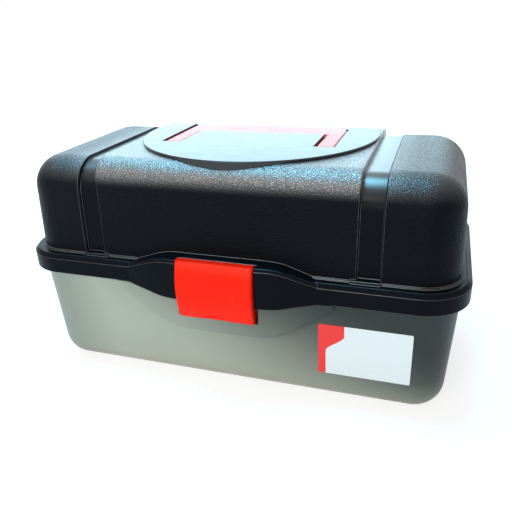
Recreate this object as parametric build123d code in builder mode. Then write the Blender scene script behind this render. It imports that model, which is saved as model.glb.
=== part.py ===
"""Cantilever tackle box: a deep base tub, a domed lid with a folding handle and a front latch,
and three trays that swing up and back on parallel arms when the lid opens.

Frame: X along the length, the front and its latch at -Y, +Z up, and the origin under the
middle of the whole box, on the surface that it stands on. Millimetres.
"""

import os
from math import atan2, copysign, cos, degrees, hypot, radians, sin, tan

from build123d import *

# Rim, where lid and base meet
rim_length = 400.0
rim_depth = 203.0
rim_corner = 40.0
rim_edge = 3.6
skirt_low = 106.4
ledge_top = 123.7
skirt_wall = 3.0

# Base tub
base_foot_length = 373.0
base_foot_inset = 16.2
base_draft = 3.6
base_corner = 26.0
base_foot_round = 25.0
base_wall = 3.0
base_height = 119.0
lip_height = 2.6
lip_reach = 3.6
lip_gap = 0.5

# Lid dome
dome_top = 207.6
dome_foot_length = 384.4
dome_inset = 10.8
dome_rear_inset = 8.3
dome_draft = 2.0
dome_corner = 33.0
dome_round = 29.0
lid_wall = 3.0

# Panels of the dome: sunk bands between the ends and the raised middle
band_inner = 113.2
band_outer = 130.9
band_drop = 2.4
band_set_back = 3.2
middle_rise = 2.9
middle_round = 19.0
panel_edge = 1.0

# Bead round the foot of the dome, and the tabs in the sunk bands
bead_reach = 1.6
bead_rise = 1.2
tab_inner = 108.0
tab_reach = 3.4
tab_rise = 2.4

# Nose of the lid round the latch
nose_half = 84.0
nose_flat = 51.0
nose_reach = 9.0
nose_top = 134.0
nose_low = 98.5
nose_edge = 2.2
nose_turn = 60.0
nose_wall = 3.0

# Bump of the base under the nose
bump_half = 97.0
bump_reach = 5.6
bump_low = 69.0
bump_flat = 50.0
bump_edge = 1.5
bump_shoulder = 102.0

# Latch
latch_half = 33.6
latch_reach = 13.5
latch_crease = 8.6
latch_top = 135.6
latch_low = 84.0
latch_wall = 3.0
latch_side_gap = 0.5
latch_side_depth = 4.0
latch_edge = 1.3
latch_back = 1.6
latch_pin_reach = 5.0
latch_pin_radius = 1.3
latch_pin_inset = 3.0
latch_knuckle = 4.1
latch_foot = 5.0
latch_notch_half = 11.0
latch_notch_rise = 5.6
latch_notch_floor = 7.8
seat_gap = 2.4
seat_depth = 5.2
catch_half = 26.0
catch_height = 91.0
catch_rib = 3.0
catch_reach = 3.2
catch_gap = 0.3

# Lid hinge
hinge_offset = 5.0
knuckle_radius = 4.5
hinge_height = 106.0
hinge_spread = 125.0
hinge_length = 60.0
hinge_middle = 30.0
hinge_pin_radius = 2.0
hinge_gap = 0.4
lid_turn = 100.0
pin_clearance = 0.03

# Steps of a round that is hidden or repeated, in a quarter turn and in a full one
round_steps = 4
round_sides = 16

# Handle plate and handle
plate_radius = 112.6
plate_front = 19.5
plate_top = 213.0
plate_rear = 165.0
plate_edge = 0.7
channel_inner = 62.0
channel_outer = 81.0
channel_front = 81.0
channel_tongue_end = 131.5
channel_rear = 166.5
channel_floor = 203.2
channel_wall = 2.6
handle_gap = 1.0
handle_lift = 0.4
handle_top = 212.0
handle_corner = 12.0
handle_edge = 2.0
handle_pin_radius = 2.0
handle_pin_reach = 5.0

# Trays
tray_length = 342.0
tray_front = 32.0
tray_rear = 180.0
tray_low = 121.5
tray_height = 23.5
tray_pitch = 25.0
tray_wall = 2.0
tray_corner = 8.0
tray_names = ("lower_tray", "middle_tray", "upper_tray")
divider_count = 3
divider_wall = 1.6
divider_gap = 0.2
divider_drop = 2.0
tray_middle_wall = 2.6
groove_depth = 0.7

# Tray arms and their motion from closed to open
arm_step_back = 30.0
arm_step_up = 16.0
arm_rear_pivot = 178.0
arm_spacing = 34.0
arm_pivot_height = 103.0
arm_wall = 2.5
arm_width = 12.0
arm_tray_gap = 0.5
rivet_radius = 1.8
rivet_proud = 1.5
side_gap = 0.3
boss_half = 7.0
boss_depth = 8.0

# Lid links
link_pivot_depth = 174.0
link_pivot_height = 125.0
link_wall = 2.5
link_width = 10.0
link_pin_reach = 5.0

# Places that follow from the sizes above
hinge_reach = hinge_offset + knuckle_radius
rim_front = -(rim_depth + hinge_reach - latch_reach) / 2
rim_rear = rim_front + rim_depth
hinge_y = rim_rear + hinge_offset
middle_top = dome_top + middle_rise
base_rise = base_height * tan(radians(base_draft))
base_inset = base_foot_inset - base_rise
latch_pin_y = rim_front - latch_pin_inset
latch_pin_height = latch_top - latch_knuckle
latch_rear = latch_pin_y + latch_knuckle
handle_half_height = (handle_top - channel_floor - handle_lift) / 2
arm_shift = (arm_step_back**2 + (tray_pitch + arm_step_up) ** 2 - tray_pitch**2) / (2 * arm_step_back)
arm_angle = degrees(atan2(tray_pitch, -arm_shift))
arm_pivot_step = hypot(arm_shift, tray_pitch)
arm_turn = arm_angle - degrees(atan2(tray_pitch + arm_step_up, arm_step_back - arm_shift))
arm_inner = tray_length / 2 + arm_tray_gap
arm_outer = arm_inner + arm_wall
link_inner = arm_outer + rivet_proud + 2 * side_gap
link_outer = link_inner + link_wall


def along_y(depth):
    """Place along Y of a depth that is counted from the front of the rim."""
    return rim_front + depth


def shrunk(outline, inset):
    """An outline of length, front, rear and corner radius, drawn in by inset."""
    length, front, rear, corner = outline
    return length - 2 * inset, front + inset, rear - inset, corner - inset


def stepped_outline(outline, low):
    """An outline on a level, whose corners are rounded in flat steps."""
    length, front, rear, corner = outline
    radius = corner / cos(radians(180 / round_sides))
    points = []
    for index in range(round_sides):
        angle = radians(360 * (index + 0.5) / round_sides)
        x = copysign(length / 2 - corner, cos(angle)) + radius * cos(angle)
        y = copysign((rear - front) / 2 - corner, sin(angle)) + radius * sin(angle)
        points.append((x, y + (front + rear) / 2))
    with BuildSketch(Plane.XY.offset(low)) as plan:
        with BuildLine():
            Polyline(*points, close=True)
        make_face()
    return plan.sketch


def smooth_outline(outline, low):
    """An outline on a level, whose corners are true arcs."""
    length, front, rear, corner = outline
    with BuildSketch(Plane.XY.offset(low)) as plan:
        with Locations((0, (front + rear) / 2)):
            RectangleRounded(length, rear - front, corner)
    return plan.sketch


def drafted_block(plan, height, draft, mode=Mode.ADD):
    """Adds or cuts a block on a drawn outline, whose walls lean out by draft degrees as they rise."""
    extrude(plan, amount=height, taper=-draft, mode=mode)


def stepped_round(outline, level, radius, upward):
    """Adds a round in flat steps between the walls that end at a level and the face beyond it."""
    for index in range(round_steps):
        near = radians(90 * index / round_steps)
        far = radians(90 * (index + 1) / round_steps)
        rise = radius * (sin(far) - sin(near))
        draft = degrees(atan2(cos(near) - cos(far), sin(far) - sin(near)))
        if upward:
            plan = stepped_outline(shrunk(outline, radius * (1 - cos(near))), level + radius * sin(near))
            drafted_block(plan, rise, -draft)
        else:
            plan = stepped_outline(shrunk(outline, radius * (1 - cos(far))), level - radius * sin(far))
            drafted_block(plan, rise, draft)


def dome_outline(front_back, inset):
    """Foot of the dome, with its front set back by front_back and every wall drawn in by inset."""
    front = rim_front + dome_inset + front_back
    return shrunk((dome_foot_length, front, rim_rear - dome_rear_inset, dome_corner), inset)


def dome(top, front_back, rise_round):
    """Starts a part with the solid form of the lid above its ledge."""
    low = ledge_top - lid_wall
    drafted_block(smooth_outline(dome_outline(front_back, 0), low), top - low, -dome_draft)
    fillet(faces().sort_by(Axis.Z)[-1].edges(), rise_round)


def nose_outline(half, flat, top, low, shoulder_top, shoulder_low):
    """Face seen from the front: raised over the flat middle and sloping down to the shoulders."""
    with BuildSketch(Plane.XZ) as outline:
        with BuildLine():
            Polyline(
                (-half, shoulder_low),
                (-half, shoulder_top),
                (-flat, top),
                (flat, top),
                (half, shoulder_top),
                (half, shoulder_low),
                (flat, low),
                (-flat, low),
                close=True,
            )
        make_face()
        fillet(outline.vertices().filter_by(lambda v: abs(abs(v.X) - flat) < 0.01), nose_turn)
    return outline.sketch


def nose(half, flat, reach, top, low, shoulder_top, shoulder_low, back):
    """Adds a nose that is arched in plan and bounded by its outline from the front."""
    with BuildSketch(Plane.XY.offset(low)) as plan:
        with BuildLine():
            ThreePointArc((-half, rim_front), (0, rim_front - reach), (half, rim_front))
            rear = rim_front + back
            Polyline((half, rim_front), (half, rear), (-half, rear), (-half, rim_front))
        make_face()
    extrude(plan.sketch, amount=top - low)
    outline = nose_outline(half, flat, top, low, shoulder_top, shoulder_low)
    extrude(outline, amount=2 * rim_depth, both=True, mode=Mode.INTERSECT)


def bar_profile(start, end, width):
    """Draws a flat bar with rounded ends on the current plane, from one pivot to the other."""
    length = hypot(end[0] - start[0], end[1] - start[1])
    turn = degrees(atan2(end[1] - start[1], end[0] - start[0]))
    with Locations(Location(((start[0] + end[0]) / 2, (start[1] + end[1]) / 2, 0), (0, 0, turn))):
        Rectangle(length, width)
        with Locations((-length / 2, 0), (length / 2, 0)):
            RegularPolygon(width / 2, round_sides, major_radius=False, rotation=180 / round_sides)


def side_plane(x):
    """Plane across the box at x, whose own X is +Y and whose own Y is +Z."""
    return Plane(origin=(x, 0, 0), x_dir=(0, 1, 0), z_dir=(1, 0, 0))


def rod(x_low, x_high, y, z, radius):
    """Adds a pin or a knuckle along X, drawn in flat steps because there are many of them."""
    with BuildSketch(side_plane(x_low)) as section:
        with Locations((y, z)):
            RegularPolygon(radius, round_sides, rotation=180 / round_sides)
    extrude(section.sketch, amount=x_high - x_low)


def bore(x_low, x_high, y, z, radius):
    """Cuts a bore along X whose flat sides clear the corners of a pin of this radius."""
    with BuildSketch(side_plane(x_low)) as section:
        with Locations((y, z)):
            RegularPolygon(radius + pin_clearance, round_sides, major_radius=False)
    extrude(section.sketch, amount=x_high - x_low, mode=Mode.SUBTRACT)


def slab(x_low, x_high, y_low, y_high, z_low, z_high, mode=Mode.ADD):
    """Adds, cuts or keeps a straight block given by its limits."""
    middle = ((x_low + x_high) / 2, (y_low + y_high) / 2, (z_low + z_high) / 2)
    with Locations(middle):
        Box(x_high - x_low, y_high - y_low, z_high - z_low, mode=mode)


def sided(side, near, far):
    """Limits along X of a span on one side of the box, lowest first."""
    return sorted((side * near, side * far))


def arm_point(base_depth, number):
    """Pivot of an arm on tray 1, 2 or 3, or on the base for 0, as (y, z) when closed."""
    reach = number * arm_pivot_step
    angle = radians(arm_angle)
    return along_y(base_depth) + reach * cos(angle), arm_pivot_height + reach * sin(angle)


arm_depths = (arm_rear_pivot, arm_rear_pivot - arm_spacing)
hinge_sides = (-hinge_spread, hinge_spread)
nodes = {}


def keep(builder, name):
    """Labels a finished piece and notes it for export."""
    builder.part.label = name
    nodes[name] = builder.part


# Base tub with its lip, bump, hinge brackets and arm bosses
rim_outline = (rim_length, rim_front, rim_rear, rim_corner)
base_outline = (base_foot_length, rim_front + base_foot_inset, rim_rear - base_foot_inset, base_corner)

with BuildPart() as base_cavity:
    inner_round = base_foot_round - base_wall
    level = base_wall + inner_round
    inner_outline = shrunk(base_outline, base_wall - level * tan(radians(base_draft)))
    drafted_block(stepped_outline(inner_outline, level), base_height + base_wall - level, base_draft)
    stepped_round(inner_outline, level, inner_round, False)

with BuildPart() as tub_form:
    drafted_block(smooth_outline(base_outline, 0), base_height, base_draft)
    fillet(faces().sort_by(Axis.Z)[0].edges(), base_foot_round)

with BuildPart() as bump_form:
    nose(
        bump_half,
        bump_flat,
        bump_reach,
        nose_top,
        bump_low,
        ledge_top - 1,
        bump_shoulder,
        base_foot_inset + base_wall,
    )
    lower_edges = edges().filter_by(lambda e: e.center().Z < bump_shoulder and e.center().Y < rim_front + 1)
    chamfer(lower_edges.filter_by(lambda e: abs(e.tangent_at(0.5).Y) < 0.5), bump_edge)
    slab(-rim_length, rim_length, -rim_depth, rim_depth, base_height, nose_top + 1, mode=Mode.SUBTRACT)

with BuildPart() as latch_seat:
    slab(
        -latch_half - seat_gap,
        latch_half + seat_gap,
        rim_front - 2 * latch_reach,
        rim_front + seat_depth,
        latch_low - seat_gap / 2,
        base_height + 1,
    )

with BuildPart() as lip_form:
    lip_outline = shrunk(rim_outline, base_inset - lip_reach)
    drafted_block(smooth_outline(lip_outline, skirt_low - lip_gap - lip_height), lip_height, 0)

# Room that the nose and the skirt of the lid hang into
with BuildPart() as nose_room:
    low_shoulder = skirt_low - lip_gap
    low_middle = nose_low - lip_gap
    room = nose_outline(nose_half, nose_flat, nose_top, low_middle, ledge_top - 1, low_shoulder)
    extrude(room, amount=2 * rim_depth, both=True)
    slab(
        -rim_length,
        rim_length,
        rim_front - 2 * latch_reach,
        rim_front + base_inset,
        low_shoulder,
        base_height + 1,
    )

with BuildPart() as arm_bosses:
    for side in (-1, 1):
        for depth in arm_depths:
            y, z = arm_point(depth, 0)
            low, high = sided(side, arm_outer + side_gap, rim_length / 2 - base_inset)
            slab(low, high, y - boss_half, y + boss_half, z - boss_half, z + boss_half)
    add(tub_form.part, mode=Mode.INTERSECT)

with BuildPart() as base_shell:
    add(bump_form.part)
    add(lip_form.part)
    add(nose_room.part, mode=Mode.SUBTRACT)
    add(latch_seat.part, mode=Mode.SUBTRACT)
    add(tub_form.part)
    slab(
        -catch_half,
        catch_half,
        rim_front - catch_reach,
        rim_front + seat_depth + 1,
        catch_height - catch_rib,
        catch_height,
    )
    add(base_cavity.part, mode=Mode.SUBTRACT)
    add(arm_bosses.part)
    for x in hinge_sides:
        for side in (-1, 1):
            low, high = sorted((x + side * hinge_middle / 2, x + side * hinge_length / 2))
            rod(low, high, hinge_y, hinge_height, knuckle_radius)
            slab(low, high, rim_rear - base_inset - 1, hinge_y, hinge_height - 9, skirt_low - lip_gap)
    for side in (-1, 1):
        for depth in arm_depths:
            y, z = arm_point(depth, 0)
            low, high = sided(side, arm_outer, arm_outer + boss_depth + 1)
            bore(low, high, y, z, rivet_radius)
    for x in hinge_sides:
        bore(x - hinge_length, x + hinge_length, hinge_y, hinge_height, hinge_pin_radius)
keep(base_shell, "base_shell")


# Forms that the lid is put together from
def keep_span(x_limit, mode):
    """Keeps or cuts what lies within x_limit of the middle, and eases the edges of the cut."""
    reach = 2 * rim_depth
    slab(-x_limit, x_limit, -reach, reach, 0, 2 * dome_top, mode=mode)
    sides = faces().filter_by(lambda f: abs(abs(f.center().X) - x_limit) < 0.01)
    chamfer([e for f in sides for e in f.edges() if e.center().Z > ledge_top], panel_edge)


with BuildPart() as band_form:
    dome(dome_top - band_drop, band_set_back, dome_round - band_drop)

with BuildPart() as lid_cavity:
    inner_round = dome_round - band_drop - lid_wall
    low = ledge_top - lid_wall - 1
    level = dome_top - band_drop - lid_wall - inner_round
    inner_outline = dome_outline(band_set_back, lid_wall)
    drafted_block(stepped_outline(inner_outline, low), level - low, -dome_draft)
    stepped_round(shrunk(inner_outline, (level - low) * tan(radians(dome_draft))), level, inner_round, True)

with BuildPart() as end_panels:
    dome(dome_top, 0, dome_round)
    keep_span(band_outer, Mode.SUBTRACT)

with BuildPart() as link_bosses:
    for side in (-1, 1):
        root_y, half = along_y(link_pivot_depth), link_width / 2
        low, high = sided(side, link_outer + side_gap, rim_length / 2)
        slab(low, high, root_y - half, root_y + half, link_pivot_height - half, link_pivot_height + half)
    add(end_panels.part, mode=Mode.INTERSECT)

with BuildPart() as middle_form:
    dome(middle_top, 0, middle_round)

with BuildPart() as middle_panel:
    add(middle_form.part)
    keep_span(band_inner, Mode.INTERSECT)

with BuildPart() as nose_form:
    nose(
        nose_half,
        nose_flat,
        nose_reach,
        nose_top,
        nose_low,
        ledge_top - 1,
        skirt_low,
        dome_inset + lid_wall,
    )
    front_edges = edges().filter_by(lambda e: e.center().Z > ledge_top - 2 and e.center().Y < rim_front - 1)
    chamfer(front_edges, nose_edge)

# Hollow of the nose, either side of the wall behind the latch
with BuildPart() as nose_cavity:
    nose(
        nose_half - nose_wall,
        nose_flat,
        nose_reach - nose_wall,
        nose_top - nose_wall,
        nose_low - 1,
        ledge_top - 1 - nose_wall,
        nose_low - 1,
        dome_inset,
    )
    slab(
        -latch_half - latch_side_gap - nose_wall,
        latch_half + latch_side_gap + nose_wall,
        rim_front - latch_reach,
        rim_front + latch_back + nose_wall,
        nose_low - 2,
        nose_top,
        mode=Mode.SUBTRACT,
    )


def channel(low, high, grow, mode):
    """Cuts or adds the U-shaped channel of the handle: two slots that join behind the tongue."""
    with BuildSketch(Plane.XY.offset(low)) as plan:
        with Locations((0, along_y((channel_front + channel_rear) / 2))):
            Rectangle(2 * (channel_outer + grow), channel_rear - channel_front + 2 * grow)
        with Locations((0, along_y((channel_front + channel_tongue_end) / 2 - grow - channel_inner))):
            length = channel_tongue_end - channel_front + 2 * channel_inner
            Rectangle(2 * (channel_inner - grow), length, mode=Mode.SUBTRACT)
    extrude(plan.sketch, amount=high - low, mode=mode)


handle_pivot = (along_y(channel_front + handle_gap) + handle_half_height, handle_top - handle_half_height)

# Domed lid with its skirt, ledge, nose, handle channel and hinge knuckles
with BuildPart() as lid_shell:
    drafted_block(smooth_outline(rim_outline, skirt_low), ledge_top - skirt_low, 0)
    chamfer(faces().sort_by(Axis.Z)[-1].edges(), rim_edge)
    add(band_form.part)
    add(end_panels.part)
    add(middle_panel.part)
    drafted_block(smooth_outline(dome_outline(0, -bead_reach), ledge_top - 1), bead_rise + 1, 0)
    for side in (-1, 1):
        slab(
            *sided(side, tab_inner, band_outer + 1),
            rim_front + dome_inset - tab_reach,
            rim_front + dome_inset + band_set_back + 1,
            ledge_top - 1,
            ledge_top + tab_rise,
        )
    add(nose_form.part)
    slab(
        -latch_half - latch_side_gap,
        latch_half + latch_side_gap,
        rim_front - 2 * latch_reach,
        rim_front + latch_back,
        latch_low,
        2 * dome_top,
        mode=Mode.SUBTRACT,
    )
    skirt_room = ledge_top - lid_wall - latch_low
    drafted_block(stepped_outline(shrunk(rim_outline, skirt_wall), latch_low), skirt_room, 0, Mode.SUBTRACT)
    add(lid_cavity.part, mode=Mode.SUBTRACT)
    add(nose_cavity.part, mode=Mode.SUBTRACT)
    slab(
        -latch_half - latch_side_gap - nose_wall,
        latch_half + latch_side_gap + nose_wall,
        rim_front + latch_back,
        rim_front + latch_back + nose_wall,
        nose_low,
        nose_top,
    )
    add(link_bosses.part)
    channel(channel_floor - channel_wall, channel_floor, channel_wall, Mode.ADD)
    channel(channel_floor, plate_top, 0, Mode.SUBTRACT)
    for x in hinge_sides:
        half = hinge_middle / 2 - hinge_gap
        rod(x - half, x + half, hinge_y, hinge_height, knuckle_radius)
        slab(x - half, x + half, rim_rear - 1, hinge_y, skirt_low, hinge_height + knuckle_radius)
        bore(x - half, x + half, hinge_y, hinge_height, hinge_pin_radius)
    for side in (-1, 1):
        low, high = sided(side, link_outer, link_outer + link_pin_reach + 0.5)
        bore(low, high, along_y(link_pivot_depth), link_pivot_height, rivet_radius)
        reach = handle_pin_reach + 0.5
        bore(*sided(side, channel_inner - reach, channel_outer + reach), *handle_pivot, handle_pin_radius)
    low = -latch_half - latch_pin_reach - 0.5
    bore(low, -low, latch_pin_y, latch_pin_height, latch_pin_radius)
keep(lid_shell, "lid_shell")

# Smooth raised plate on the lid, with the tongue that the handle lies round
with BuildPart() as handle_plate:
    with BuildSketch(Plane.XY.offset(dome_top - middle_round)):
        with Locations((0, along_y(plate_front + plate_radius))):
            Circle(plate_radius)
        with Locations((0, along_y(plate_rear + plate_radius))):
            Rectangle(3 * plate_radius, 2 * plate_radius, mode=Mode.SUBTRACT)
    extrude(amount=plate_top - dome_top + middle_round)
    chamfer(faces().sort_by(Axis.Z)[-1].edges(), plate_edge)
    channel(channel_floor, plate_top + 1, 0, Mode.SUBTRACT)
    add(middle_form.part, mode=Mode.SUBTRACT)
keep(handle_plate, "handle_plate")

# Folding handle: two arms and a broad grip, lying flush in the channel
with BuildPart() as handle:
    with BuildSketch(Plane.XY.offset(channel_floor + handle_lift)):
        front, rear = handle_pivot[0], along_y(channel_rear - handle_gap)
        with Locations((0, (front + rear) / 2)):
            Rectangle(2 * (channel_outer - handle_gap), rear - front)
        tongue_rear = along_y(channel_tongue_end + handle_gap)
        with Locations((0, (front + tongue_rear) / 2)):
            Rectangle(2 * (channel_inner + handle_gap), tongue_rear - front, mode=Mode.SUBTRACT)
        corners = vertices().group_by(Axis.Y)[-1]
        fillet(corners, handle_corner)
    extrude(amount=2 * handle_half_height)
    for side in (-1, 1):
        low, high = sided(side, channel_inner + handle_gap, channel_outer - handle_gap)
        rod(low, high, *handle_pivot, handle_half_height)
    long_edges = edges().filter_by(lambda e: e.center().Y > handle_pivot[0] + 1 and e.length > 15)
    chamfer(long_edges.filter_by(Plane.XY), handle_edge)
    for side in (-1, 1):
        low, high = sided(side, channel_inner, channel_outer)
        bore(low, high, *handle_pivot, handle_pin_radius)
keep(handle, "handle")

with BuildPart() as handle_pins:
    for side in (-1, 1):
        low, high = sided(side, channel_inner - handle_pin_reach, channel_outer + handle_pin_reach)
        rod(low, high, *handle_pivot, handle_pin_radius)
keep(handle_pins, "handle_pins")

# Latch: a curved shell with side walls, a top ledge and a thumb notch
with BuildPart() as latch:
    latch_middle = (latch_top + latch_low) / 2
    crease = rim_front - latch_crease
    with BuildSketch(side_plane(-latch_half)):
        with BuildLine():
            Line((latch_pin_y, latch_top), (crease, latch_top))
            ThreePointArc((crease, latch_top), (rim_front - latch_reach, latch_middle), (crease, latch_low))
            Polyline(
                (crease, latch_low),
                (rim_front - latch_side_depth, latch_low),
                (rim_front - 1, latch_low + latch_foot),
                (rim_front - 1, latch_pin_height - 2 * latch_knuckle),
                (latch_rear, latch_pin_height),
            )
            RadiusArc((latch_rear, latch_pin_height), (latch_pin_y, latch_top), -latch_knuckle)
        make_face()
    extrude(amount=2 * latch_half)
    front_face = faces().filter_by(GeomType.CYLINDER).sort_by(Axis.Y)[0]
    side_edges = front_face.edges().filter_by(lambda e: abs(e.center().X) > latch_half - 1)
    chamfer(side_edges, latch_edge)
    with BuildSketch(side_plane(-latch_half + latch_wall)):
        with BuildLine():
            Polyline((rim_front + 2, latch_top - latch_wall), (crease, latch_top - latch_wall))
            ThreePointArc(
                (crease, latch_top - latch_wall),
                (rim_front - latch_reach + latch_wall, latch_middle),
                (crease + latch_wall, latch_low),
            )
            Polyline(
                (crease + latch_wall, latch_low),
                (crease + latch_wall, latch_low - 1),
                (rim_front + 2, latch_low - 1),
                (rim_front + 2, latch_top - latch_wall),
            )
        make_face()
    extrude(amount=2 * (latch_half - latch_wall), mode=Mode.SUBTRACT)
    slab(
        -catch_half,
        catch_half,
        crease,
        rim_front - catch_reach - catch_gap,
        catch_height - catch_rib,
        catch_height,
    )
    notch_radius = (latch_notch_half**2 + latch_notch_rise**2) / (2 * latch_notch_rise)
    with BuildSketch(Plane.XZ.offset(latch_notch_floor - rim_front)):
        with Locations((0, latch_low + latch_notch_rise - notch_radius)):
            Circle(notch_radius)
    extrude(amount=latch_reach, mode=Mode.SUBTRACT)
    bore(-latch_half, latch_half, latch_pin_y, latch_pin_height, latch_pin_radius)
keep(latch, "latch")

with BuildPart() as latch_pin:
    low = -latch_half - latch_pin_reach
    rod(low, -low, latch_pin_y, latch_pin_height, latch_pin_radius)
keep(latch_pin, "latch_pin")

# Hinge pins of the lid
with BuildPart() as hinge_pins:
    for x in hinge_sides:
        rod(x - hinge_length / 2 - 1, x + hinge_length / 2 + 1, hinge_y, hinge_height, hinge_pin_radius)
keep(hinge_pins, "hinge_pins")


# Trays with a middle wall and grooves that hold loose dividers
def tray(number):
    """Builds a tray, which is a shallow tub with a middle wall and a groove at each divider's ends."""
    low = tray_low + number * tray_pitch
    front, rear = along_y(tray_front), along_y(tray_rear)
    middle = (front + rear) / 2
    outline = (tray_length, front, rear, tray_corner)
    top = low + tray_height - divider_drop
    with BuildPart() as piece:
        drafted_block(stepped_outline(outline, low), tray_height, 0)
        well = stepped_outline(shrunk(outline, tray_wall), low + tray_wall)
        drafted_block(well, tray_height, 0, Mode.SUBTRACT)
        half = tray_length / 2 - tray_wall
        slab(-half, half, middle - tray_middle_wall / 2, middle + tray_middle_wall / 2, low + tray_wall, top)
        groove = divider_wall / 2 + divider_gap
        floor, rim = low + tray_wall, low + tray_height
        for x in divider_places:
            for y_low, y_high in divider_rows(front, middle, rear, groove_depth):
                slab(x - groove, x + groove, y_low, y_high, floor, rim, Mode.SUBTRACT)
        for side in (-1, 1):
            for depth in arm_depths:
                y, z = arm_point(depth, number + 1)
                bore(*sided(side, tray_length / 2 - 5, tray_length / 2 + 5), y, z, rivet_radius)
    return piece


def divider_rows(front, middle, rear, bite):
    """Limits along Y of the front and rear compartments, each longer by bite at both ends."""
    wall = tray_middle_wall / 2 - bite
    return (front + tray_wall - bite, middle - wall), (middle + wall, rear - tray_wall + bite)


def dividers(number):
    """Builds the dividers of a tray, each a thin plate that drops into its two grooves."""
    low = tray_low + number * tray_pitch
    front, rear = along_y(tray_front), along_y(tray_rear)
    rows = divider_rows(front, (front + rear) / 2, rear, groove_depth - divider_gap)
    with BuildPart() as piece:
        for x in divider_places:
            for y_low, y_high in rows:
                slab(
                    x - divider_wall / 2,
                    x + divider_wall / 2,
                    y_low,
                    y_high,
                    low + tray_wall,
                    low + tray_height - divider_drop,
                )
    return piece


def rivets(points, inner, outer):
    """Builds rivets at the (y, z) points on both sides, between two distances from the middle."""
    with BuildPart() as piece:
        for side in (-1, 1):
            for y, z in points:
                rod(*sided(side, inner, outer), y, z, rivet_radius)
    return piece


divider_places = [
    (index + 1) * tray_length / (divider_count + 1) - tray_length / 2 for index in range(divider_count)
]
for number, name in enumerate(tray_names):
    keep(tray(number), name)
    keep(dividers(number), f"{name}_dividers")
    tray_pivots = [arm_point(depth, number + 1) for depth in arm_depths]
    tail = tray_length / 2 - tray_wall - rivet_proud
    keep(rivets(tray_pivots, tail, arm_outer + rivet_proud), f"{name}_rivets")
base_pivots = [arm_point(depth, 0) for depth in arm_depths]
keep(rivets(base_pivots, arm_inner - rivet_proud, arm_outer + boss_depth), "base_rivets")


# Tray arms, one ahead of the other on each side
def arm(side, depth, tip):
    """Builds a flat arm with a bore at the base and at each tray, and its tip at a distance."""
    angle = radians(arm_angle)
    start = arm_point(depth, 0)
    end = start[0] + tip * cos(angle), start[1] + tip * sin(angle)
    with BuildPart() as piece:
        low, high = sided(side, arm_inner, arm_outer)
        with BuildSketch(side_plane(low)) as plan:
            bar_profile(start, end, arm_width)
        extrude(plan.sketch, amount=high - low)
        for number in range(len(tray_names) + 1):
            bore(low, high, *arm_point(depth, number), rivet_radius)
    return piece


# Lid links: the far end of each lies on the spot that keeps its distance from the lid's pivot
# both when the box is closed and when it is open
def turned(point, centre, turn):
    """A (y, z) point swung towards the rear round a centre by a turn in degrees."""
    angle = radians(turn)
    y, z = point[0] - centre[0], point[1] - centre[1]
    return (
        centre[0] + y * cos(angle) + z * sin(angle),
        centre[1] - y * sin(angle) + z * cos(angle),
    )


arm_root = arm_point(arm_rear_pivot, 0)
link_root = (along_y(link_pivot_depth), link_pivot_height)
link_open = turned(turned(link_root, (hinge_y, hinge_height), lid_turn), arm_root, -arm_turn)
chord = (link_open[0] - link_root[0], link_open[1] - link_root[1])
half_way = ((link_open[0] + link_root[0]) / 2, (link_open[1] + link_root[1]) / 2)
arm_way = (cos(radians(arm_angle)), sin(radians(arm_angle)))
offset = (half_way[0] - arm_root[0]) * chord[0] + (half_way[1] - arm_root[1]) * chord[1]
arm_tip = offset / (arm_way[0] * chord[0] + arm_way[1] * chord[1])
link_tip = (arm_root[0] + arm_tip * arm_way[0], arm_root[1] + arm_tip * arm_way[1])


def link(side):
    """Builds the strap from the lid to the tip of the rear arm."""
    with BuildPart() as piece:
        low, high = sided(side, link_inner, link_outer)
        with BuildSketch(side_plane(low)) as plan:
            bar_profile(link_root, link_tip, link_width)
        extrude(plan.sketch, amount=high - low)
        bore(low, high, *link_root, rivet_radius)
        bore(low, high, *link_tip, rivet_radius)
    return piece


with BuildPart() as link_pins:
    for side in (-1, 1):
        rod(*sided(side, link_inner - side_gap, link_outer + link_pin_reach), *link_root, rivet_radius)

with BuildPart() as link_rivets:
    for side in (-1, 1):
        rod(*sided(side, link_inner, link_outer + rivet_proud), *link_tip, rivet_radius)

for side, word in ((-1, "left"), (1, "right")):
    keep(arm(side, arm_depths[0], arm_tip), f"rear_arm_{word}")
    keep(arm(side, arm_depths[1], 3 * arm_pivot_step), f"front_arm_{word}")
    keep(link(side), f"lid_link_{word}")
keep(link_pins, "link_pins")
keep(link_rivets, "link_rivets")


os.makedirs("parts", exist_ok=True)
for name, piece in nodes.items():
    export_step(piece, f"parts/{name}.step")
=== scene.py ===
"""Looks of the cantilever tackle box: materials, a bare sticker, plain studio and camera."""
from math import pi

import bmesh
import bpy
from mathutils import Euler, Matrix, Vector


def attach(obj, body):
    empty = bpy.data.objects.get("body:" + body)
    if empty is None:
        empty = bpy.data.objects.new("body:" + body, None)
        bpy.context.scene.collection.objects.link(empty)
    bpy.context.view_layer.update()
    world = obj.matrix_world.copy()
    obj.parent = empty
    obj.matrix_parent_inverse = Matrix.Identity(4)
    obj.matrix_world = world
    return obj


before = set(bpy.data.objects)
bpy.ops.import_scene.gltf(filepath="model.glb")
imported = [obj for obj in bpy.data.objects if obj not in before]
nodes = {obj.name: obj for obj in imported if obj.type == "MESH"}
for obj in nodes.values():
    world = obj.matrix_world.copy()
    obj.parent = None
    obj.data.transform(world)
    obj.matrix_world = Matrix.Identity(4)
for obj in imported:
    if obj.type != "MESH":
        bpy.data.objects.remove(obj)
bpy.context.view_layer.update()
scene = bpy.context.scene
scene.view_settings.view_transform = "Standard"

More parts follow.
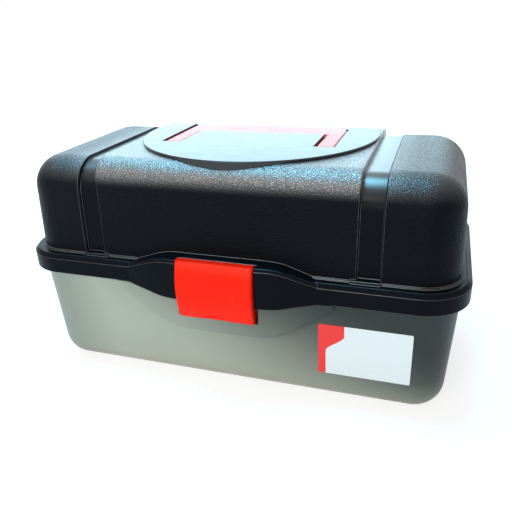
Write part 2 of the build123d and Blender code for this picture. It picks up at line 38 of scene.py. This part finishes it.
# Camera, from the fit of the box's edges in the photograph
eye = (0.165377, -0.484704, 0.324563)
heading, tilt, roll = 0.327175, 1.150998, -0.038150
camera_data = bpy.data.cameras.new("camera")
camera_data.sensor_width = 36.0
camera_data.lens = 39.461
camera_data.clip_start = 0.01
camera = bpy.data.objects.new("camera", camera_data)
scene.collection.objects.link(camera)
turn = Matrix.Rotation(heading, 3, "Z") @ Matrix.Rotation(tilt, 3, "X")
turn = turn @ Matrix.Rotation(roll, 3, "Z")
camera.matrix_world = Matrix.Translation(eye) @ turn.to_4x4()
scene.camera = camera

# Noise values between which a surface's roughness changes
noise_low, noise_high = 0.3, 0.7


class Nodes:
    """Short calls for building a material's nodes."""

    def __init__(self, name):
        self.material = bpy.data.materials.new(name)
        self.material.use_nodes = True
        self.tree = self.material.node_tree
        self.tree.nodes.clear()
        self.shader = self.add("ShaderNodeBsdfPrincipled")
        output = self.add("ShaderNodeOutputMaterial")
        self.link(self.shader.outputs[0], output.inputs[0])
        self.place = self.add("ShaderNodeTexCoord").outputs["Object"]
        axes = self.add("ShaderNodeSeparateXYZ")
        self.link(self.place, axes.inputs[0])
        self.x, self.y, self.z = axes.outputs

    def add(self, kind, **values):
        node = self.tree.nodes.new(kind)
        for name, value in values.items():
            setattr(node, name, value)
        return node

    def link(self, source, target):
        self.tree.links.new(source, target)

    def put(self, value, socket):
        if hasattr(value, "is_output"):
            self.link(value, socket)
        else:
            socket.default_value = value

    def math(self, operation, *values):
        node = self.add("ShaderNodeMath", operation=operation)
        for value, socket in zip(values, node.inputs):
            self.put(value, socket)
        return node.outputs[0]

    def product(self, *values):
        """Product of two or more values."""
        result = values[0]
        for value in values[1:]:
            result = self.math("MULTIPLY", result, value)
        return result

    def dot(self, first, second):
        node = self.add("ShaderNodeVectorMath", operation="DOT_PRODUCT")
        self.link(first, node.inputs[0])
        self.link(second, node.inputs[1])
        return node.outputs["Value"]

    def noise(self, scale, detail=2.0):
        node = self.add("ShaderNodeTexNoise")
        self.link(self.place, node.inputs["Vector"])
        node.inputs["Scale"].default_value = scale
        node.inputs["Detail"].default_value = detail
        return node.outputs["Fac"]

    def cells(self, scale):
        node = self.add("ShaderNodeTexVoronoi", feature="SMOOTH_F1")
        self.link(self.place, node.inputs["Vector"])
        node.inputs["Scale"].default_value = scale
        node.inputs["Smoothness"].default_value = 0.6
        return node.outputs["Distance"]

    def span(self, value, low, high, to_low=0.0, to_high=1.0, smooth=False):
        """Maps low to high onto to_low to to_high, and holds the ends beyond."""
        node = self.add("ShaderNodeMapRange", clamp=True)
        if smooth:
            node.interpolation_type = "SMOOTHSTEP"
        for item, socket in zip((value, low, high, to_low, to_high), node.inputs):
            self.put(item, socket)
        return node.outputs[0]

    def mottle(self, scale, to_low, to_high, detail=4.0):
        """A value that wanders between two ends over the surface."""
        return self.span(self.noise(scale, detail), noise_low, noise_high, to_low, to_high)

    def mix(self, factor, first, second):
        """A colour between two colours of red, green and blue."""
        node = self.add("ShaderNodeMix", data_type="RGBA")
        for value, socket in zip((factor, first, second), (0, 6, 7)):
            self.put((*value, 1) if isinstance(value, tuple) else value, node.inputs[socket])
        return node.outputs[2]

    def soft_normal(self, radius):
        """Normal of the surface as if its edges were rounded to a radius."""
        node = self.add("ShaderNodeBevel", samples=6)
        node.inputs["Radius"].default_value = radius
        return node.outputs[0]

    def bump(self, height, distance, strength, edge=0.0):
        """Fine relief, over edges that catch the light as if rounded to a radius."""
        node = self.add("ShaderNodeBump")
        self.put(height, node.inputs["Height"])
        self.put(strength, node.inputs["Strength"])
        node.inputs["Distance"].default_value = distance
        self.link(node.outputs[0], self.shader.inputs["Normal"])
        if edge:
            self.link(self.soft_normal(edge), node.inputs["Normal"])
        return node.outputs[0]

    def edge_share(self, radius):
        """0 on flat ground, rising to 1 where an edge rounded to the radius would turn away."""
        flat = self.add("ShaderNodeNewGeometry").outputs["Normal"]
        return self.span(self.dot(self.soft_normal(radius), flat), 0.99, 0.85)

    def faces_out(self, middle):
        """1 on faces turned away from the middle of a hollow piece, 0 on its inside."""
        away = self.add("ShaderNodeVectorMath", operation="SUBTRACT")
        self.link(self.place, away.inputs[0])
        away.inputs[1].default_value = middle
        normal = self.add("ShaderNodeTexCoord").outputs["Normal"]
        return self.math("GREATER_THAN", self.dot(away.outputs[0], normal), 0.0)

    def set(self, **values):
        for name, value in values.items():
            self.put(value, self.shader.inputs[name.replace("_", " ")])


# Black lid: pebble grain on the outside, smooth on the bands, nose and skirt, glossiest on top
band_inner, band_outer = 0.1136, 0.1305
ledge_height, nose_rear = 0.1255, -0.0898
lid_middle = (0, 0, 0.15)
dull_height, glossy_height = 0.187, 0.2085
panel_inner, panel_outer, panel_gloss = 0.105, 0.15, 0.38
edge_radius, edge_gloss = 0.0009, 0.8
grain_size, speck_size, speck_share = 900.0, 1500.0, 0.25
grain_depth, grain_strength, plain_strength = 0.0006, 0.8, 0.012

n = Nodes("lid_black")
side = n.math("ABSOLUTE", n.x)
in_band = n.product(
    n.math("GREATER_THAN", side, band_inner),
    n.math("LESS_THAN", side, band_outer),
)
outside = n.faces_out(lid_middle)
grained = n.product(
    n.math("GREATER_THAN", n.z, ledge_height),
    n.math("GREATER_THAN", n.y, nose_rear),
    n.product(outside, n.math("SUBTRACT", 1.0, in_band)),
)
pebble = n.math("ADD", n.cells(grain_size), n.product(n.noise(speck_size), speck_share))
polish = n.product(
    n.span(n.z, dull_height, glossy_height, smooth=True),
    n.product(outside, n.span(side, panel_inner, panel_outer, 1.0, panel_gloss)),
)
n.set(
    Base_Color=n.mix(n.noise(14.0), (0.0022, 0.0028, 0.0046), (0.004, 0.0048, 0.007)),
    Roughness=n.math("ADD", n.mottle(60.0, 0.3, 0.36), n.product(grained, 0.06)),
    Specular_IOR_Level=0.045,
    Coat_Weight=n.math("MAXIMUM", polish, n.product(n.edge_share(edge_radius), edge_gloss)),
    Coat_Roughness=0.32,
    Coat_IOR=2.4,
)
relief = n.math("ADD", n.product(grained, grain_strength), plain_strength)
n.link(n.bump(pebble, grain_depth, relief, edge_radius), n.shader.inputs["Coat Normal"])
lid_black = n.material

# Smooth satin plate round the handle
n = Nodes("plate_black")
n.set(
    Base_Color=n.mix(n.noise(22.0), (0.006, 0.007, 0.010), (0.009, 0.0105, 0.014)),
    Roughness=n.mottle(90.0, 0.2, 0.25),
    Specular_IOR_Level=0.45,
)
n.bump(n.noise(1500.0), 0.0001, 0.1, 0.0006)
plate_black = n.material


def red_plastic(name, specular, tint):
    """Glossy red-orange plastic."""
    n = Nodes(name)
    n.set(
        Base_Color=n.mix(n.noise(30.0), (0.93, 0.011, 0.0025), (1.0, 0.017, 0.004)),
        Roughness=n.mottle(40.0, 0.24, 0.28, 2.0),
        Specular_IOR_Level=specular,
        Specular_Tint=tint,
    )
    n.bump(n.noise(60.0, 1.0), 0.0001, 0.1, 0.0009)
    return n.material


latch_red = red_plastic("latch_red", 0.09, (1.0, 0.8, 0.6, 1))
handle_red = red_plastic("handle_red", 0.3, (1.0, 0.78, 0.68, 1))

# Frosted smoky tub, whose colour carries painted shade, partly the dark inside seen through the
# frosted wall: darker towards the right end and the rim, less dark at the rear, lighter at the
# foot as painted floor bounce light, and also darker towards the left end
# How the painted shade on the tub rises with height, how far it reaches, and how much weaker it
# is at the rear and the foot
rise_share, shade_reach = 1.8, 0.3
front_place, rear_place, rear_shade = -0.05, 0.02, 0.5
foot_low, foot_high, foot_shade = 0.008, 0.034, 0.6
left_end, left_inner, left_dim = -0.187, -0.115, 0.5

n = Nodes("smoky_frost_and_shade")
cloud = n.product(n.math("SUBTRACT", n.noise(9.0, 3.0), 0.5), 0.02)
shade_slope = n.math("ADD", n.math("ADD", n.x, n.product(n.z, rise_share)), cloud)
# Painted shade: darker towards the right end and the rim, weaker at the rear, and lighter at the
# foot as painted floor bounce light
painted_shade = n.product(
    n.span(shade_slope, 0.0, shade_reach, smooth=True),
    n.span(n.y, front_place, rear_place, 1.0, rear_shade),
    n.span(n.z, foot_low, foot_high, foot_shade, 1.0),
)
# Darker towards the left end
end = n.span(n.x, left_end, left_inner, left_dim, 0.0)
n.set(
    # The frost's own colour, mixed towards a near-black by the painted shade and by the darkening
    # at the left end
    Base_Color=n.mix(n.math("MAXIMUM", painted_shade, end), (0.43, 0.43, 0.35), (0.03, 0.034, 0.032)),
    Roughness=n.mottle(70.0, 0.36, 0.44),
    Transmission_Weight=0.15,
    IOR=1.49,
    Specular_IOR_Level=0.18,
)
n.bump(n.noise(420.0, 3.0), 0.00012, 0.15, 0.001)
smoky_frost_and_shade = n.material

# Grey tray plastic and the paler dividers
n = Nodes("tray_grey")
n.set(
    Base_Color=n.mix(n.noise(12.0, 3.0), (0.22, 0.23, 0.245), (0.27, 0.28, 0.295)),
    Roughness=n.mottle(80.0, 0.38, 0.46),
)
n.bump(n.noise(700.0), 0.0001, 0.2)
tray_grey = n.material

n = Nodes("divider_pale")
n.set(
    Base_Color=n.mix(n.noise(18.0, 3.0), (0.4, 0.42, 0.44), (0.47, 0.49, 0.51)),
    Roughness=n.mottle(80.0, 0.25, 0.34),
)
n.bump(n.noise(500.0), 0.0001, 0.15)
divider_pale = n.material


def metal(name, dark, light, low, high, stretch):
    """Metal with fine lines, whose scale along each axis is given by stretch."""
    n = Nodes(name)
    scale = n.add("ShaderNodeMapping")
    n.link(n.place, scale.inputs["Vector"])
    scale.inputs["Scale"].default_value = stretch
    texture = n.add("ShaderNodeTexNoise")
    n.link(scale.outputs[0], texture.inputs["Vector"])
    texture.inputs["Scale"].default_value = 1.0
    texture.inputs["Detail"].default_value = 4.0
    lines = texture.outputs["Fac"]
    n.set(
        Base_Color=n.mix(lines, dark, light),
        Roughness=n.span(lines, noise_low, noise_high, low, high),
        Metallic=1.0,
    )
    n.bump(lines, 0.00008, 0.25)
    return n.material


arm_metal = metal(
    "arm_strip", (0.55, 0.56, 0.58), (0.68, 0.69, 0.7), 0.28, 0.42, (900, 60, 900)
)
rivet_metal = metal(
    "rivet_steel", (0.5, 0.5, 0.5), (0.66, 0.66, 0.66), 0.22, 0.36, (500, 500, 500)
)


def dress(material, *names):
    """Gives the objects of some CAD nodes one material."""
    for name in names:
        data = nodes[name].data
        data.materials.clear()
        data.materials.append(material)


dress(lid_black, "lid_shell")
dress(plate_black, "handle_plate")
dress(handle_red, "handle")
dress(latch_red, "latch")
dress(smoky_frost_and_shade, "base_shell")
for tray in ("lower_tray", "middle_tray", "upper_tray"):
    dress(tray_grey, tray)
    dress(divider_pale, tray + "_dividers")
    dress(rivet_metal, tray + "_rivets")
for word in ("left", "right"):
    dress(arm_metal, "rear_arm_" + word, "front_arm_" + word, "lid_link_" + word)
dress(rivet_metal, "base_rivets", "hinge_pins", "handle_pins")
dress(rivet_metal, "latch_pin", "link_pins", "link_rivets")

# Bare sticker on the front of the tub: white paper with a plain red block and no print
sticker_low, sticker_high = 0.032, 0.082
sticker_left, sticker_right = 0.083, 0.160
sticker_corner, corner_points = 0.0012, 5
wall_foot, wall_top, wall_height = -0.0833, -0.0908, 0.119
film, lift = 0.0002, 0.0001
block_width, strip_width = 0.285, 0.085
block_foot, strip_top = 0.2, 0.53


def sticker_outline():
    """Points round the sticker as (x, z), with rounded corners."""
    left, right = sticker_left + sticker_corner, sticker_right - sticker_corner
    low, high = sticker_low + sticker_corner, sticker_high - sticker_corner
    outline = []
    for start, (x, z) in enumerate(((right, high), (left, high), (left, low), (right, low))):
        for step in range(corner_points):
            angle = (start + step / (corner_points - 1)) * pi / 2
            way = Euler((0, -angle, 0)).to_matrix() @ Vector((sticker_corner, 0, 0))
            outline.append((x + way.x, z + way.z))
    return outline


def sticker_mesh():
    """A thin film that lies on the sloping front wall."""
    outline = sticker_outline()
    slope = (wall_top - wall_foot) / wall_height
    out = Vector((0, -1, slope)).normalized()
    mesh = bmesh.new()
    rings = []
    for proud in (lift, lift + film):
        points = [Vector((x, wall_foot + slope * z, z)) + out * proud for x, z in outline]
        rings.append([mesh.verts.new(point) for point in points])
    back, face = rings
    mesh.faces.new(face)
    mesh.faces.new(list(reversed(back)))
    for i in range(len(outline)):
        j = (i + 1) % len(outline)
        mesh.faces.new((back[i], back[j], face[j], face[i]))
    bmesh.ops.recalc_face_normals(mesh, faces=mesh.faces)
    data = bpy.data.meshes.new("sticker")
    mesh.to_mesh(data)
    mesh.free()
    return data


sticker = bpy.data.objects.new("sticker", sticker_mesh())
scene.collection.objects.link(sticker)
n = Nodes("sticker_paper")
across = n.span(n.x, sticker_left, sticker_right)
downward = n.span(n.z, sticker_high, sticker_low)
edge = n.span(downward, block_foot, strip_top, block_width, strip_width, smooth=True)
paper = n.mix(n.noise(400.0, 3.0), (0.7, 0.7, 0.69), (0.75, 0.75, 0.74))
n.set(
    Base_Color=n.mix(n.math("LESS_THAN", across, edge), paper, (0.82, 0.02, 0.012)),
    Roughness=n.mottle(300.0, 0.3, 0.36, 3.0),
)
n.bump(n.noise(800.0), 0.00005, 0.1)
sticker.data.materials.append(n.material)
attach(sticker, "base")

# Plain pale floor and world, white to the rays that show them and softer as light
floor_reach = 30.0
floor_light, floor_shade = 0.9, 0.45
glow_near, glow_far, glow_start, glow_full = 0.72, 1.0, 0.3, 1.2
world_light, world_shown = 0.28, 1.0


def seen_by_view(tree):
    """Output of 1 on camera, glossy and transmission rays, and 0 on the rest."""
    path = tree.nodes.new("ShaderNodeLightPath")
    value = path.outputs["Is Camera Ray"]
    for name in ("Is Glossy Ray", "Is Transmission Ray"):
        larger = tree.nodes.new("ShaderNodeMath")
        larger.operation = "MAXIMUM"
        tree.links.new(value, larger.inputs[0])
        tree.links.new(path.outputs[name], larger.inputs[1])
        value = larger.outputs[0]
    return value


def floor_material():
    """Pale floor, whose shown brightness is mostly fixed, so that the shadow on it stays soft."""
    material = bpy.data.materials.new("floor_white")
    material.use_nodes = True
    tree = material.node_tree
    tree.nodes.clear()
    lit = tree.nodes.new("ShaderNodeBsdfDiffuse")
    lit.inputs["Color"].default_value = (floor_light, floor_light, floor_light, 1)
    shade = tree.nodes.new("ShaderNodeBsdfDiffuse")
    shade.inputs["Color"].default_value = (floor_shade, floor_shade, floor_shade, 1)
    place = tree.nodes.new("ShaderNodeTexCoord")
    reach = tree.nodes.new("ShaderNodeVectorMath")
    reach.operation = "LENGTH"
    tree.links.new(place.outputs["Object"], reach.inputs[0])
    fixed = tree.nodes.new("ShaderNodeMapRange")
    fixed.inputs["From Min"].default_value = glow_start
    fixed.inputs["From Max"].default_value = glow_full
    fixed.inputs["To Min"].default_value = glow_near
    fixed.inputs["To Max"].default_value = glow_far
    tree.links.new(reach.outputs["Value"], fixed.inputs["Value"])
    glow = tree.nodes.new("ShaderNodeEmission")
    tree.links.new(fixed.outputs[0], glow.inputs["Strength"])
    shown = tree.nodes.new("ShaderNodeAddShader")
    tree.links.new(shade.outputs[0], shown.inputs[0])
    tree.links.new(glow.outputs[0], shown.inputs[1])
    blend = tree.nodes.new("ShaderNodeMixShader")
    tree.links.new(seen_by_view(tree), blend.inputs[0])
    tree.links.new(lit.outputs[0], blend.inputs[1])
    tree.links.new(shown.outputs[0], blend.inputs[2])
    output = tree.nodes.new("ShaderNodeOutputMaterial")
    tree.links.new(blend.outputs[0], output.inputs[0])
    return material


corners = [
    (-floor_reach, -floor_reach, 0),
    (floor_reach, -floor_reach, 0),
    (floor_reach, floor_reach, 0),
    (-floor_reach, floor_reach, 0),
]
floor_data = bpy.data.meshes.new("floor")
floor_data.from_pydata(corners, [], [(0, 1, 2, 3)])
floor_data.materials.append(floor_material())
floor = bpy.data.objects.new("floor", floor_data)
scene.collection.objects.link(floor)

world = bpy.data.worlds.new("studio")
scene.world = world
world.use_nodes = True
tree = world.node_tree
tree.nodes.clear()
strength = tree.nodes.new("ShaderNodeMapRange")
strength.inputs["To Min"].default_value = world_light
strength.inputs["To Max"].default_value = world_shown
background = tree.nodes.new("ShaderNodeBackground")
background.inputs["Color"].default_value = (1, 1, 1, 1)
output = tree.nodes.new("ShaderNodeOutputWorld")
tree.links.new(seen_by_view(tree), strength.inputs["Value"])
tree.links.new(strength.outputs[0], background.inputs["Strength"])
tree.links.new(background.outputs[0], output.inputs["Surface"])


def lamp(name, place, aim, size, power, colour):
    """A soft rectangular lamp of a width and height that faces a point."""
    data = bpy.data.lights.new(name, "AREA")
    data.shape = "RECTANGLE"
    data.size, data.size_y = size
    data.energy = power
    data.color = colour
    lamp_object = bpy.data.objects.new(name, data)
    scene.collection.objects.link(lamp_object)
    facing = (Vector(aim) - Vector(place)).to_track_quat("-Z", "Y")
    lamp_object.matrix_world = Matrix.Translation(place) @ facing.to_matrix().to_4x4()


lamp("back_low", (-0.6, 1.75, 0.85), (0, 0, 0.2), (2.6, 1.0), 27, (0.5, 0.84, 1.0))
lamp("overhead", (-0.45, 0.12, 2.05), (-0.05, 0, 0.2), (1.05, 1.05), 50, (0.22, 0.72, 1.0))
lamp("key_front", (-0.45, -2.15, 0.95), (0, 0, 0.1), (1.4, 1.2), 36, (1.0, 0.97, 0.91))
